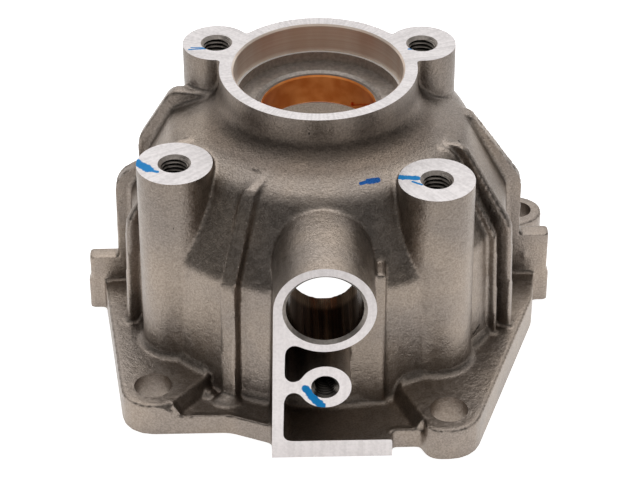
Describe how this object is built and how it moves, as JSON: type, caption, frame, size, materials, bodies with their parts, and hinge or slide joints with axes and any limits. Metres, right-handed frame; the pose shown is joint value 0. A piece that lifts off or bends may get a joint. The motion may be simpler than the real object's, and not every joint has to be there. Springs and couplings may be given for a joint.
{
  "type": "transmission extension housing",
  "caption": "Cast bell-shaped end housing with a bolting flange, a seal neck, threaded posts, a side port and a pressed bush.",
  "frame": {"origin": "on the shaft axis, in the plane of the flange's base", "axes": "+Z along the shaft axis from the flange towards the seal neck, +X to the right as seen from the port, -Y out of the port"},
  "size_m": [0.1661, 0.1802, 0.099],
  "materials": {
    "cast_aluminium": "sand-cast skin with milled faces",
    "bush_bronze": "smooth bored bronze lining"
  },
  "bodies": {
    "root": {"housing": "cast_aluminium", "output_bush": "bush_bronze"}
  },
  "joints": []
}
